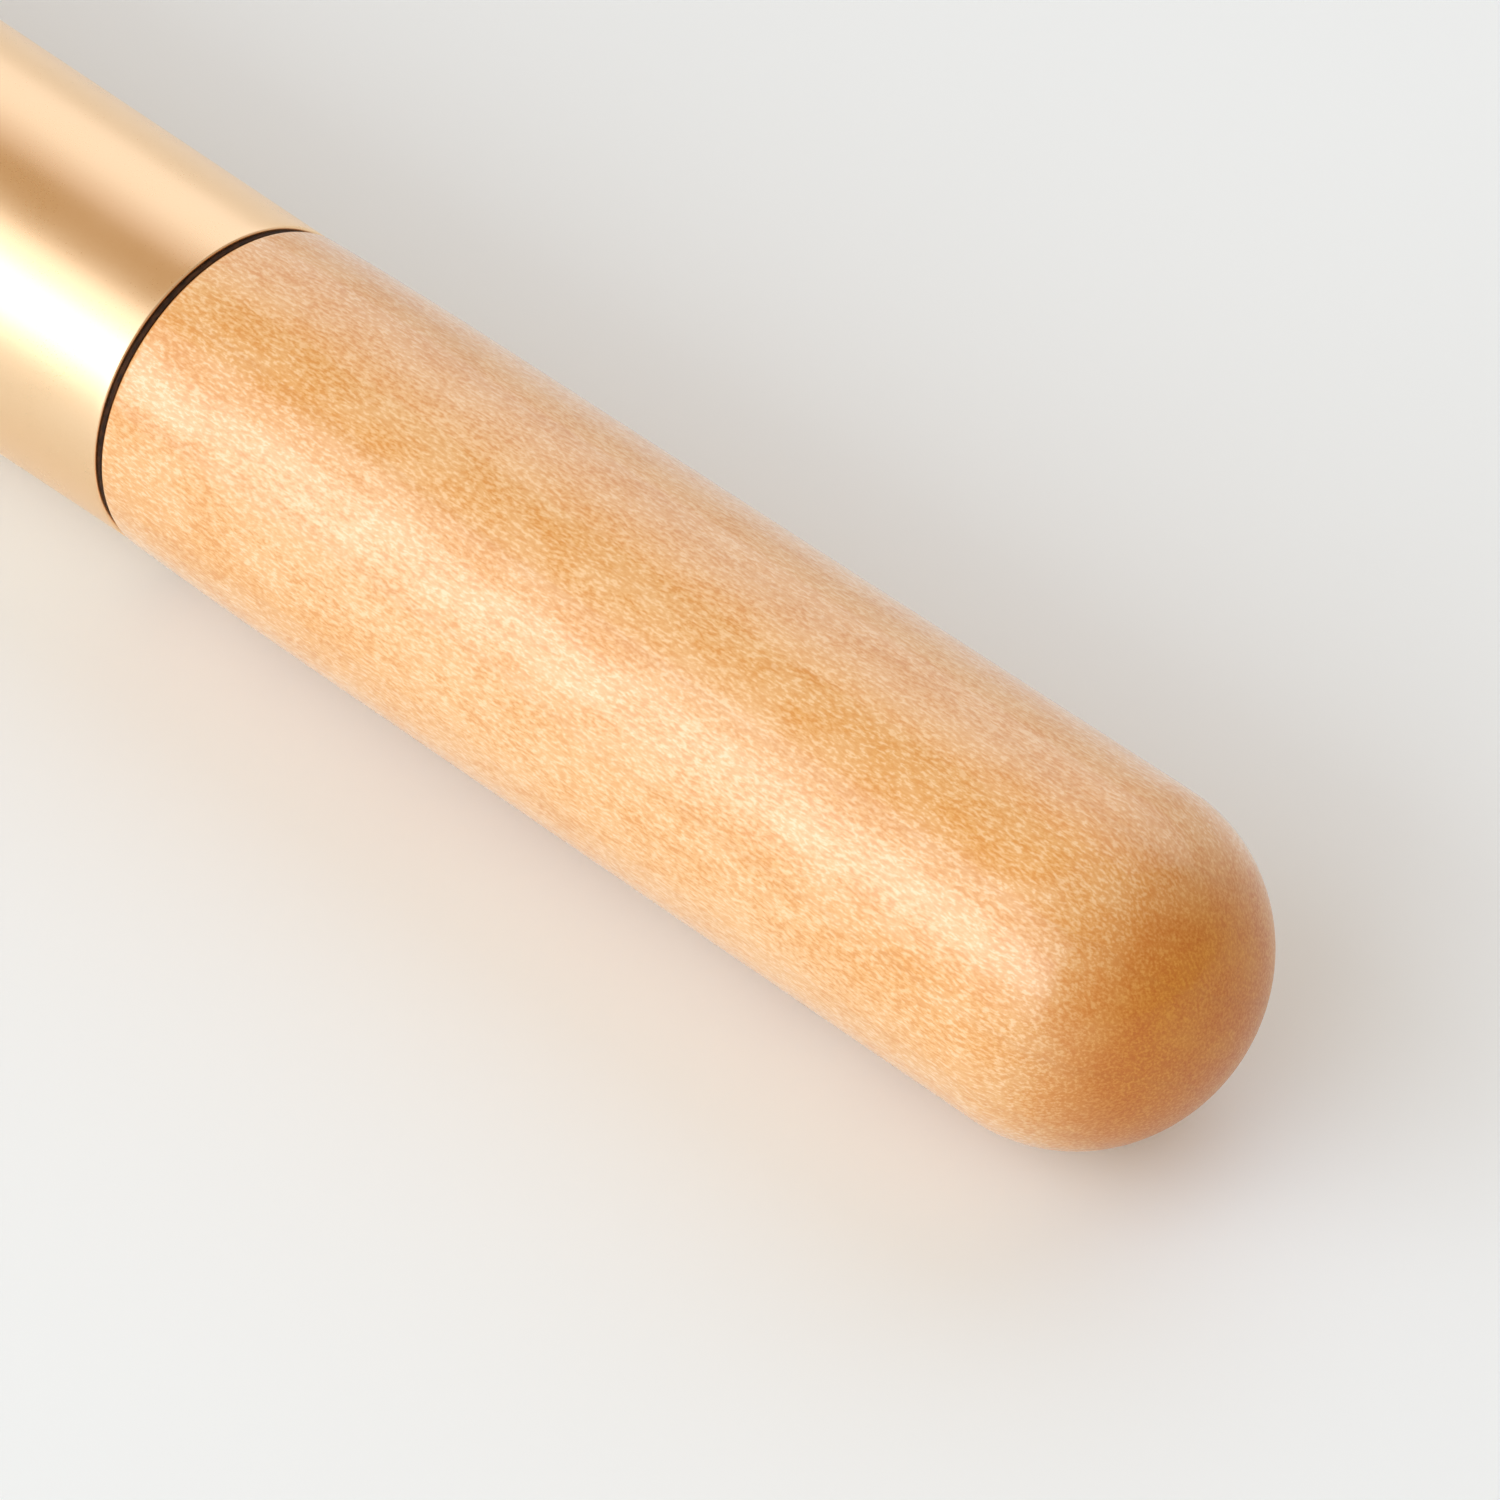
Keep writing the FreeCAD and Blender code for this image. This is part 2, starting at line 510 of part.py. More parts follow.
def nib_cuts():
    """Everything that is pierced through the nib: slit, vent hole and two side cuts."""
    tall = NIB_BASE_RADIUS * 2
    vent_x = X_NIB_POINT + NIB_VENT_BACK
    slit = Part.makeBox(NIB_VENT_BACK + CUTTER_MARGIN, NIB_SLIT, tall,
                        FreeCAD.Vector(X_NIB_POINT - CUTTER_MARGIN, -NIB_SLIT / 2, 0))
    vent = Part.makeCylinder(NIB_VENT_RADIUS, tall, FreeCAD.Vector(vent_x, 0, 0), UP)
    cuts = [slit, vent]
    for side in (1, -1):
        cut = Part.makeBox(NIB_BASE_RADIUS, NIB_SIDE_CUT, tall,
                           FreeCAD.Vector(0, -NIB_SIDE_CUT / 2, 0))
        cut.rotate(AXIS_START, UP, side * (TOP - NIB_SIDE_CUT_ANGLE))
        cut.translate(FreeCAD.Vector(vent_x, side * NIB_BASE_RADIUS * NIB_SIDE_CUT_OUT, 0))
        cuts.append(cut)
    return cuts


def nib():
    """Pointed steel nib, cut from the bent strip."""
    blank = nib_shell().common(nib_plan())
    return blank.cut(nib_cuts())


def export(name, shape):
    """Write one sub-part, lifted so that the grip's lowest flat touches the ground."""
    solids = shape.Solids
    placed = solids[0] if len(solids) == 1 else Part.makeCompound(solids)
    placed.translate(UP * AXIS_HEIGHT)
    if not placed.isValid():
        raise ValueError(f"{name} is not a valid solid")
    placed.exportStep(os.path.join("parts", f"{name}.step"))
    print(f"{name}: {len(solids)} solid, {placed.Volume:.1f} mm3")


def main():
    """Build every sub-part and write it to parts/."""
    os.makedirs("parts", exist_ok=True)
    export("tail_handle", tail_handle())
    export("tail_insert", insert(X_TAIL_TENON_END, 1))
    export("tail_washer", tail_washer())
    export("sleeve", sleeve())
    export("tie_stud", tie_stud())
    export("grip_washer", grip_washer())
    export("grip_insert", insert(X_GRIP_TENON_END, -1))
    export("grip_handle", grip_handle())
    export("nib_ferrule", ferrule())
    export("quill_socket", quill_socket())
    export("nib_clip", nib_clip())
    export("nib", nib())


main()
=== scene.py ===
"""Looks of the dip pen holder: maple tail and grip, satin gold sleeve, ferrule, clip and nib.

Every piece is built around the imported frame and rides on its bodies. The pen lies along X
with its domed tail towards +X and its nib towards -X, in metres.
"""

import logging
import math
from dataclasses import dataclass, field
from enum import Enum
from typing import Callable, Sequence

import bmesh
import bpy
import numpy as np
from mathutils import Matrix, Vector


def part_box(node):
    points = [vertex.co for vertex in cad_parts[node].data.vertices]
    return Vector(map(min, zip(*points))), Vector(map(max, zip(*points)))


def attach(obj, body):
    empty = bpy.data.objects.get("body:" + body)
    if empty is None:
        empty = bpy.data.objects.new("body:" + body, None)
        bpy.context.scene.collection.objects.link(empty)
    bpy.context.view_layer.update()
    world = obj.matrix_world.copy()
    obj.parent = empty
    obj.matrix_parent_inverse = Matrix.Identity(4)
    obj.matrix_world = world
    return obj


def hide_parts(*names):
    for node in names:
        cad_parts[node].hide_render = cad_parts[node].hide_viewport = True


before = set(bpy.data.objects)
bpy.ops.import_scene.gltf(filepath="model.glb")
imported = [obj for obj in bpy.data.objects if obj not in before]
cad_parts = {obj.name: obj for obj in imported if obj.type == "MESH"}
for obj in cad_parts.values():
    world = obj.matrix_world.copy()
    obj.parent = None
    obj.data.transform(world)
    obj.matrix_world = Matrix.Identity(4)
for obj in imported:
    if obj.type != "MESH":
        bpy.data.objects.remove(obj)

log = logging.getLogger("dip_pen")

MM = 0.001
TINY = 1e-8                     # shorter than anything real, in metres
FULL_TURN = 2 * math.pi
EVEN = (1.0, 1.0, 1.0)          # a stretch that leaves a pattern alike in every direction
Colour = tuple[float, float, float]
Triple = tuple[float, float, float]
Station = tuple[float, float]
RadiusRule = Callable[[float, float, float], float]


# ---------------------------------------------------------------- shader maths


class Wire:
    """A socket's value, on which arithmetic adds Math nodes."""

    def __init__(self, bench: "Bench", socket: bpy.types.NodeSocket | None) -> None:
        """Wrap a socket of a bench's node tree."""
        self.bench = bench
        self.socket = socket

    def _math(self, operation: str, first: object, second: object) -> "Wire":
        """One Math node on two values."""
        settings = {"operation": operation}
        return self.bench.add("ShaderNodeMath", settings, {0: first, 1: second})

    def __add__(self, other: object) -> "Wire":
        """self + other."""
        return self._math("ADD", self, other)

    def __radd__(self, other: object) -> "Wire":
        """other + self."""
        return self._math("ADD", other, self)

    def __sub__(self, other: object) -> "Wire":
        """self - other."""
        return self._math("SUBTRACT", self, other)

    def __rsub__(self, other: object) -> "Wire":
        """other - self."""
        return self._math("SUBTRACT", other, self)

    def __mul__(self, other: object) -> "Wire":
        """self * other."""
        return self._math("MULTIPLY", self, other)

    def __rmul__(self, other: object) -> "Wire":
        """other * self."""
        return self._math("MULTIPLY", other, self)

    def __truediv__(self, other: object) -> "Wire":
        """self / other."""
        return self._math("DIVIDE", self, other)

    def __rtruediv__(self, other: object) -> "Wire":
        """other / self."""
        return self._math("DIVIDE", other, self)

    def __pow__(self, other: object) -> "Wire":
        """self ** other."""
        return self._math("POWER", self, other)


class Bench:
    """Builds the node tree of one material or world."""

    def __init__(self, owner: bpy.types.Material | bpy.types.World) -> None:
        """Empty a node tree, ready to be built.

        Args:
            owner: the material or world that the tree is of.
        """
        self.owner = owner
        self.owner.use_nodes = True
        self.tree = owner.node_tree
        self.tree.nodes.clear()

    def add(self, kind: str, settings: dict | None = None, inputs: dict | None = None,
            output: str | int = 0) -> Wire:
        """Add one node.

        Args:
            kind: the node's type name.
            settings: attributes of the node, set before its inputs.
            inputs: values or wires, by socket name or number.
            output: the socket to return.

        Returns:
            The chosen output as a wire, empty for a node with no outputs.
        """
        node = self.tree.nodes.new(kind)
        for key, value in (settings or {}).items():
            setattr(node, key, value)
        for key, value in (inputs or {}).items():
            if isinstance(value, Wire):
                self.tree.links.new(value.socket, node.inputs[key])
            else:
                node.inputs[key].default_value = value
        return Wire(self, node.outputs[output] if len(node.outputs) else None)

    def place(self, stretch: Triple = EVEN, offset: Triple = (0.0, 0.0, 0.0)) -> Wire:
        """Position on the piece in millimetres.

        Args:
            stretch: factors along x, y and z; a small one draws a pattern out.
            offset: what is added after that.

        Returns:
            The position, as a vector.
        """
        spot = self.add("ShaderNodeTexCoord", output="Object")
        scaled = self.add("ShaderNodeVectorMath", {"operation": "MULTIPLY"},
                          {0: spot, 1: tuple(part / MM for part in stretch)})
        return self.add("ShaderNodeVectorMath", {"operation": "ADD"}, {0: scaled, 1: offset})

    def noise(self, where: Wire, scale: float, detail: float = 2.0,
              roughness: float = 0.5, distortion: float = 0.0) -> Wire:
        """Smooth noise.

        Args:
            where: the position that it is read at.
            scale: features per millimetre.
            detail: how many finer layers it has.
            roughness: strength of each layer beside the one before.
            distortion: how far the pattern is bent.

        Returns:
            A value from 0 to 1.
        """
        return self.add("ShaderNodeTexNoise", None, {
            "Vector": where, "Scale": scale, "Detail": detail,
            "Roughness": roughness, "Distortion": distortion}, "Fac")

    def band(self, value: Wire, low: float, high: float,
             out_low: float = 0.0, out_high: float = 1.0) -> Wire:
        """Smooth step of a value.

        Args:
            value: what is stepped.
            low: where the step starts.
            high: where it ends.
            out_low: result at low and before it.
            out_high: result at high and past it.

        Returns:
            The stepped value.
        """
        return self.add("ShaderNodeMapRange", {"interpolation_type": "SMOOTHSTEP"}, {
            "Value": value, "From Min": low, "From Max": high,
            "To Min": out_low, "To Max": out_high})

    def mix(self, share: Wire | float, first: Wire | Colour, second: Wire | Colour,
            blend: str = "MIX") -> Wire:
        """Mix two colours.

        Args:
            share: 0 for the first alone, 1 for the second laid over it.
            first: the colour below.
            second: the colour above.
            blend: the way that they combine.

        Returns:
            The mixed colour.
        """
        def full(colour: Wire | Colour) -> Wire | tuple:
            """A colour with its alpha, or a wire unchanged."""
            return colour if isinstance(colour, Wire) else (*colour, 1.0)

        return self.add("ShaderNodeMix", {"data_type": "RGBA", "blend_type": blend}, {
            0: share, 6: full(first), 7: full(second)}, 2)

    def bump(self, height: Wire, strength: float, depth: float) -> Wire:
        """A bumped normal.

        Args:
            height: the relief, from 0 to 1.
            strength: how much of it is felt.
            depth: its real depth in metres.

        Returns:
            The normal.
        """
        return self.add("ShaderNodeBump", None, {
            "Strength": strength, "Distance": depth, "Height": height})

    def finish(self, inputs: dict) -> bpy.types.Material:
        """Close the material with a Principled shader.

        Args:
            inputs: values or wires of the shader's sockets.

        Returns:
            The finished material.
        """
        surface = self.add("ShaderNodeBsdfPrincipled", None, inputs)
        self.add("ShaderNodeOutputMaterial", None, {"Surface": surface})
        return self.owner


# -------------------------------------------------------------------- finishes


@dataclass(frozen=True)
class Maple:
    """Straight-grained maple under clear satin lacquer."""

    name: str
    shift: Triple = (0.0, 0.0, 0.0)             # which part of the board it was cut from
    cream: Colour = (0.825, 0.48, 0.213)
    honey: Colour = (0.775, 0.382, 0.112)
    fleck_dark: Colour = (0.68, 0.25, 0.034)
    fleck_pale: Colour = (0.93, 0.65, 0.38)
    line: Colour = (0.50, 0.20, 0.06)
    end_grain_and_painted_shade: Colour = (0.75, 0.475, 0.08)     # how much of each colour is left on cut ends: real end grain plus painted shade on the dome
    heart: Triple = (0.0, -19.0, -23.0)         # middle of the tree's rings, in mm
    ring_width: float = 3.1                     # in mm
    slope: float = 0.045                        # how far the grain runs off the axis
    fleck_scale: float = 10.5                   # scales are in features per millimetre
    fibre_scale: float = 5.0
    mottle_scale: float = 0.95
    cloud_scale: float = 0.21
    lacquer_scale: float = 0.9
    dark_share: float = 0.62                    # how strongly each mark shows
    pale_share: float = 0.7
    fibre_share: float = 0.3
    line_share: float = 0.09
    soaked: float = 0.6                         # share of the lacquer that a cut end drinks

    def build(self) -> bpy.types.Material:
        """Make the material.

        Returns:
            The new material.
        """
        bench = Bench(bpy.data.materials.new(self.name))

        def figure(along: float, scale: float, *rest: float) -> Wire:
            """Noise that is drawn out along the grain."""
            return bench.noise(bench.place((along, 1.0, 1.0), self.shift), scale, *rest)

        flecks = figure(0.34, self.fleck_scale, 2.0, 0.6, 0.15)
        fibres = figure(0.2, self.fibre_scale, 2.0, 0.55, 0.3)
        mottle = figure(0.45, self.mottle_scale, 3.0, 0.55)
        cloud = figure(0.3, self.cloud_scale, 2.0, 0.5)
        ring = self._ring(bench)
        tone = bench.band(cloud * 0.6 + mottle * 0.4, 0.34, 0.62)
        wood = bench.mix(tone, self.honey, self.cream)
        dark_flecks = bench.band(flecks, 0.51, 0.37) * bench.band(mottle, 0.62, 0.4, 0.45, 1.0)
        wood = bench.mix(dark_flecks * self.dark_share, wood, self.fleck_dark)
        pale_flecks = bench.band(flecks, 0.5, 0.64) * bench.band(mottle, 0.35, 0.6, 0.6, 1.0)
        wood = bench.mix(pale_flecks * self.pale_share, wood, self.fleck_pale)
        dark_fibres = bench.band(fibres, 0.45, 0.28)
        wood = bench.mix(dark_fibres * self.fibre_share, wood, self.fleck_dark)
        wood = bench.mix(ring * self.line_share, wood, self.line)
        cut_end = self._cut_end(bench)
        # cut ends darken: partly real end grain, partly painted shade where the dome faces away
        # from the lights
        wood = bench.mix(cut_end, wood, self.end_grain_and_painted_shade, "MULTIPLY")
        lacquer = bench.band(figure(1.0, self.lacquer_scale, 2.0), 0.2, 0.8, 0.84, 1.0)
        return bench.finish({
            "Base Color": wood,
            "Roughness": bench.band(flecks, 0.3, 0.7, 0.5, 0.36),
            "Specular IOR Level": 0.35,
            "Coat Weight": lacquer * (1 - cut_end * self.soaked),
            "Coat Roughness": 0.12,
            "Coat IOR": 1.58,
            "Normal": bench.bump(flecks * 0.6 + fibres * 0.4, 0.35, 0.012 * MM),
        })

    @staticmethod
    def _cut_end(bench: Bench) -> Wire:
        """Find where the surface cuts across the grain.

        Args:
            bench: the material's bench.

        Returns:
            1 on a cut end, 0 along the grain.
        """
        facing = bench.add("ShaderNodeTexCoord", output="Normal")
        along = bench.add("ShaderNodeSeparateXYZ", None, {0: facing}, 0)
        return bench.band((along * along) ** 0.5, 0.3, 0.9)

    def _ring(self, bench: Bench) -> Wire:
        """Find the growth rings.

        Args:
            bench: the material's bench.

        Returns:
            1 on the dark late-wood side of each ring, 0 between.
        """
        offset = tuple(-part for part in self.heart)
        board = bench.place(EVEN, offset)
        wander = bench.noise(bench.place((0.08, 0.5, 0.5), self.shift), 0.5, 2.0)
        parts = [bench.add("ShaderNodeSeparateXYZ", None, {0: board}, axis) for axis in range(3)]
        along, across, rise = parts
        across = across + along * self.slope
        radius = (across * across + rise * rise) ** 0.5
        phase = bench.add("ShaderNodeMath", {"operation": "FRACT"},
                          {0: radius / self.ring_width + wander * 0.8})
        late = bench.band(phase, 0.72, 0.985)
        early = bench.band(phase, 0.985, 1.0, 1.0, 0.0)
        return late ** 3.0 * early


@dataclass(frozen=True)
class Plated:
    """Satin or polished metal with fine working marks."""

    name: str
    colour: Colour
    shade: Colour
    roughness: float
    spread: float                                   # how much the roughness varies
    grain: Triple                                   # stretch of the marks along x, y, z
    grain_scale: float                              # marks per millimetre
    depth: float                                    # in metres
    strength: float = 0.3

    def build(self) -> bpy.types.Material:
        """Make the material.

        Returns:
            The new material.
        """
        bench = Bench(bpy.data.materials.new(self.name))
        marks = bench.noise(bench.place(self.grain), self.grain_scale, 3.0, 0.6)
        cloud = bench.noise(bench.place(), 0.35, 2.0)
        tone = bench.band(marks * 0.5 + cloud * 0.5, 0.3, 0.7)
        low, high = self.roughness - self.spread, self.roughness + self.spread
        return bench.finish({
            "Base Color": bench.mix(tone, self.shade, self.colour),
            "Metallic": 1.0,
            "Roughness": bench.band(marks * 0.6 + cloud * 0.4, 0.3, 0.7, low, high),
            "Normal": bench.bump(marks, self.strength, self.depth),
        })


@dataclass(frozen=True)
class NibSteel:
    """Spring steel, polished lengthwise, ground across near the point and tinted behind it."""

    name: str
    point_x: float
    mouth_x: float
    steel: Colour = (0.60, 0.57, 0.53)
    straw: Colour = (0.62, 0.50, 0.33)
    dark: Colour = (0.34, 0.32, 0.31)

    def build(self) -> bpy.types.Material:
        """Make the material.

        Returns:
            The new material.
        """
        bench = Bench(bpy.data.materials.new(self.name))
        spot = bench.place()
        along = bench.add("ShaderNodeSeparateXYZ", None, {0: spot}, 0)
        share = (along - self.point_x / MM) / ((self.mouth_x - self.point_x) / MM)
        polish = bench.noise(bench.place((0.05, 1.0, 1.0)), 18.0, 3.0, 0.6)
        ground = bench.noise(bench.place((1.0, 0.05, 0.05)), 22.0, 2.0, 0.6)
        near_point = bench.band(share, 0.38, 0.2)
        marks = bench.add("ShaderNodeMix", None, {0: near_point, 2: polish, 3: ground})
        cloud = bench.noise(spot, 0.3, 2.0)
        tint = bench.band(share + cloud * 0.25, 0.55, 1.05)
        colour = bench.mix(tint, self.steel, self.straw)
        colour = bench.mix(bench.band(marks, 0.62, 0.3) * 0.25, colour, self.dark)
        return bench.finish({
            "Base Color": colour,
            "Metallic": 1.0,
            "Roughness": bench.band(marks, 0.3, 0.7, 0.2, 0.34),
            "Normal": bench.bump(marks, 0.35, 0.006 * MM),
        })


@dataclass(frozen=True)
class Fibre:
    """Black vulcanised fibre, as the washers are cut from."""

    name: str = "black_fibre"
    black: Colour = (0.014, 0.007, 0.004)
    brown: Colour = (0.06, 0.024, 0.010)

    def build(self) -> bpy.types.Material:
        """Make the material.

        Returns:
            The new material.
        """
        bench = Bench(bpy.data.materials.new(self.name))
        strands = bench.noise(bench.place((1.0, 0.4, 0.4)), 7.0, 4.0, 0.65)
        return bench.finish({
            "Base Color": bench.mix(bench.band(strands, 0.35, 0.65), self.black, self.brown),
            "Roughness": bench.band(strands, 0.3, 0.7, 0.55, 0.75),
            "Specular IOR Level": 0.12,
            "Normal": bench.bump(strands, 0.4, 0.01 * MM),
        })


@dataclass(frozen=True)
class Paper:
    """Pale seamless paper under the pen."""

    name: str = "pale_paper"
    white: Colour = (0.89, 0.935, 0.955)
    grey: Colour = (0.88, 0.925, 0.945)

    def build(self) -> bpy.types.Material:
        """Make the material.

        Returns:
            The new material.
        """
        bench = Bench(bpy.data.materials.new(self.name))
        cloud = bench.noise(bench.place(), 0.02, 2.0)
        tooth = bench.noise(bench.place(), 6.0, 2.0)
        return bench.finish({
            "Base Color": bench.mix(bench.band(cloud, 0.3, 0.7), self.grey, self.white),
            "Roughness": 0.65,
            "Specular IOR Level": 0.3,
            "Normal": bench.bump(tooth, 0.05, 0.01 * MM),
        })


SATIN_GOLD = Plated(
    "satin_gold", colour=(0.95, 0.68, 0.42), shade=(0.93, 0.655, 0.39), roughness=0.29,
    spread=0.02, grain=EVEN, grain_scale=11.0, depth=0.002 * MM, strength=0.25)
FERRULE_GOLD = Plated(
    "ferrule_gold", colour=(0.94, 0.68, 0.40), shade=(0.90, 0.62, 0.34), roughness=0.17,
    spread=0.04, grain=(1.0, 0.06, 0.06), grain_scale=12.0, depth=0.003 * MM)
TURNED_BRASS = Plated(
    "turned_brass", colour=(0.86, 0.66, 0.30), shade=(0.70, 0.48, 0.19), roughness=0.26,
    spread=0.06, grain=(1.0, 0.05, 0.05), grain_scale=9.0, depth=0.006 * MM, strength=0.5)
ZINC = Plated(
    "zinc_plated", colour=(0.62, 0.62, 0.63), shade=(0.46, 0.46, 0.48), roughness=0.33,
    spread=0.08, grain=EVEN, grain_scale=6.0, depth=0.004 * MM, strength=0.4)
SPRING_STRIP = Plated(
    "spring_strip", colour=(0.60, 0.59, 0.58), shade=(0.44, 0.43, 0.42), roughness=0.24,
    spread=0.06, grain=(0.12, 1.0, 1.0), grain_scale=9.0, depth=0.004 * MM, strength=0.4)


# ---------------------------------------------------------------------- shapes


class Outline:
    """A half-section in (x, radius), sampled closely, with rounded corners."""

    ROUND_STEPS = 5             # gaps in a rounded corner

    def __init__(self, x: float, radius: float, rounding: float = 0.0,
                 step: float = 0.35 * MM) -> None:
        """Start the section.

        Args:
            x: place of its first corner.
            radius: that corner's radius.
            rounding: radius of the round on it.
            step: longest gap between stations.
        """
        self.step = step
        self.corners: list[Triple] = [(x, radius, rounding)]
        self.runs: dict[int, list[Station]] = {}

    def line(self, x: float, radius: float, rounding: float = 0.0) -> "Outline":
        """A straight run to a corner, which gets a round of that radius."""
        self.corners.append((x, radius, rounding))
        return self

    def path(self, stations: Sequence[Station]) -> "Outline":
        """A run that starts at the last corner.

        Args:
            stations: close places on it, with the last corner first.

        Returns:
            The outline, so that calls can be chained.
        """
        self.runs[len(self.corners) - 1] = list(stations[1:-1])
        self.corners.append((*stations[-1], 0.0))
        return self

    def stations(self, closed: bool) -> list[Station]:
        """The sampled section.

        Args:
            closed: whether the last corner is joined to the first.

        Returns:
            Stations in order, with none repeated.
        """
        count = len(self.corners)
        found: list[Station] = []
        for index, (x, radius, rounding) in enumerate(self.corners):
            at_end = not closed and index in (0, count - 1)
            here = np.array((x, radius))
            if rounding > 0 and not at_end:
                before = np.array(self.corners[index - 1][:2])
                after = np.array(self.corners[(index + 1) % count][:2])
                found += self._rounded(before, here, after, rounding)
            else:
                found.append((x, radius))
            found += self.runs.get(index, [])
        return self._filled(found, closed)

    def _rounded(self, before: np.ndarray, here: np.ndarray, after: np.ndarray,
                 rounding: float) -> list[Station]:
        """Round one corner.

        Args:
            before: the corner before it.
            here: the corner.
            after: the corner after it.
            rounding: radius of the round.

        Returns:
            Stations on the round.
        """
        back = (before - here) / np.linalg.norm(before - here)
        ahead = (after - here) / np.linalg.norm(after - here)
        half = math.acos(max(-1.0, min(1.0, float(back @ ahead)))) / 2
        reach = rounding / math.tan(half)
        middle = here + (back + ahead) / np.linalg.norm(back + ahead) * rounding / math.sin(half)
        start, end = here + back * reach - middle, here + ahead * reach - middle
        sweep = math.pi - 2 * half
        stations = []
        for step in range(self.ROUND_STEPS + 1):
            share = step / self.ROUND_STEPS
            blend = (math.sin((1 - share) * sweep) * start + math.sin(share * sweep) * end)
            stations.append(tuple(middle + blend / math.sin(sweep)))
        return stations

    def _filled(self, found: list[Station], closed: bool) -> list[Station]:
        """Add stations so that no gap is wider than the step.

        Args:
            found: the stations so far.
            closed: whether the last is joined to the first.

        Returns:
            All the stations.
        """
        ends = found[1:] + ([found[0]] if closed else [])
        filled: list[Station] = []
        for start, end in zip(found, ends):
            gap = math.dist(start, end)
            if gap < TINY:
                continue
            steps = max(1, math.ceil(gap / self.step))
            for step in range(steps):
                share = step / steps
                filled.append((start[0] + (end[0] - start[0]) * share,
                               start[1] + (end[1] - start[1]) * share))
        if not closed:
            filled.append(found[-1])
        return filled


def arc(start: float, end: float, steps: int,
        point: Callable[[float], Station]) -> list[Station]:
    """Stations of a curve given by a function of an angle in radians."""
    return [point(start + (end - start) * step / steps) for step in range(steps + 1)]


def level_curve(places: Sequence[Station], steps: int) -> list[Station]:
    """A smooth curve through places, level at both ends.

    Args:
        places: the places that it passes through.
        steps: gaps between each two of them.

    Returns:
        Close stations along the curve.
    """
    points = np.array(places)
    gaps = np.linalg.norm(np.diff(points, axis=0), axis=1)
    count = len(points)
    level = np.array((math.copysign(1.0, points[-1][0] - points[0][0]), 0.0))
    matrix, right = np.eye(count), np.zeros((count, 2))
    right[0] = right[-1] = level
    for i in range(1, count - 1):
        before, after = gaps[i - 1], gaps[i]
        matrix[i, i - 1:i + 2] = after, 2 * (before + after), before
        right[i] = 3 * (after / before * (points[i] - points[i - 1])
                        + before / after * (points[i + 1] - points[i]))
    slopes = np.linalg.solve(matrix, right)
    curve = []
    for i, gap in enumerate(gaps):
        for step in range(steps):
            t = step / steps
            weights = (2 * t**3 - 3 * t**2 + 1, (t**3 - 2 * t**2 + t) * gap,
                       3 * t**2 - 2 * t**3, (t**3 - t**2) * gap)
            curve.append(tuple(weights[0] * points[i] + weights[1] * slopes[i]
                               + weights[2] * points[i + 1] + weights[3] * slopes[i + 1]))
    return curve + [tuple(points[-1])]


@dataclass
class Turning:
    """Turns half-sections into meshes about the pen's axis."""

    axis_z: float
    segments: int = 240

    def piece(self, name: str, outline: Outline, closed: bool = True,
              rule: RadiusRule | None = None) -> bpy.types.Object:
        """Turn one half-section.

        Args:
            name: the new object's name.
            outline: the half-section; an open one starts and ends on the axis.
            closed: whether the section is a closed ring.
            rule: the radius at (x, radius, angle), where the surface isn't round.

        Returns:
            The new object, smooth shaded.
        """
        stations = outline.stations(closed)
        vertices: list[Triple] = []
        rings: list[list[int]] = []
        for x, radius in stations:
            if radius < TINY:
                rings.append([len(vertices)])
                vertices.append((x, 0.0, self.axis_z))
                continue
            ring = []
            for segment in range(self.segments):
                angle = FULL_TURN * segment / self.segments
                real = rule(x, radius, angle) if rule else radius
                ring.append(len(vertices))
                vertices.append((x, real * math.cos(angle), self.axis_z + real * math.sin(angle)))
            rings.append(ring)
        pairs = list(zip(rings, rings[1:] + ([rings[0]] if closed else [])))
        faces = [face for first, second in pairs for face in self._joined(first, second)]
        return solid(name, vertices, faces)

    def _joined(self, first: list[int], second: list[int]) -> list[tuple[int, ...]]:
        """Join two neighbouring rings, either of which may be one point.

        Args:
            first: numbers of the first ring's vertices.
            second: numbers of the second ring's.

        Returns:
            The faces between them.
        """
        faces: list[tuple[int, ...]] = []
        if len(first) == 1 and len(second) == 1:
            return faces
        for segment in range(self.segments):
            following = (segment + 1) % self.segments
            if len(first) == 1:
                faces.append((first[0], second[segment], second[following]))
            elif len(second) == 1:
                faces.append((first[segment], second[0], first[following]))
            else:
                faces.append((first[segment], second[segment],
                              second[following], first[following]))
        return faces


def solid(name: str, vertices: Sequence, faces: Sequence) -> bpy.types.Object:
    """Make a smooth-shaded closed object with its faces pointing outwards.

    Args:
        name: the new object's name.
        vertices: its vertices.
        faces: its faces, as vertex numbers.

    Returns:
        The new object.
    """
    mesh = bpy.data.meshes.new(name)
    mesh.from_pydata(vertices, [], faces)
    shape = bmesh.new()
    shape.from_mesh(mesh)
    bmesh.ops.recalc_face_normals(shape, faces=shape.faces)
    for face in shape.faces:
        face.smooth = True
    shape.to_mesh(mesh)
    shape.free()
    obj = bpy.data.objects.new(name, mesh)
    bpy.context.scene.collection.objects.link(obj)
    return obj


